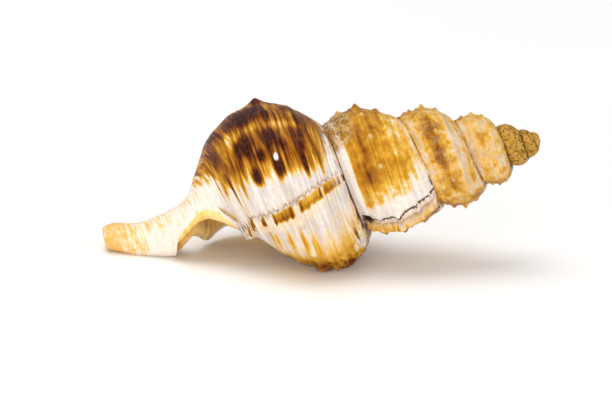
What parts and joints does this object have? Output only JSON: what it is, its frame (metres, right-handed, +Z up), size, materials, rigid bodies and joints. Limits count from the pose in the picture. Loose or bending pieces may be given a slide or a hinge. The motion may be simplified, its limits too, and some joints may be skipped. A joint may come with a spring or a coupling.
{
  "type": "noble frog shell",
  "caption": "Spired sea shell with knobs, raised former lips, a long bent canal and a deep opening underneath, lying as it rests on a table",
  "frame": {"origin": "centre of the bounding box in plan, at the level it rests on", "axes": "+X towards the apex along the shell's length, +Y away from the side seen in the picture, +Z up"},
  "size_m": [0.0734, 0.0316, 0.0274],
  "materials": {
    "shell": "satin"
  },
  "bodies": {
    "root": {"frog_shell": "shell"}
  },
  "joints": []
}
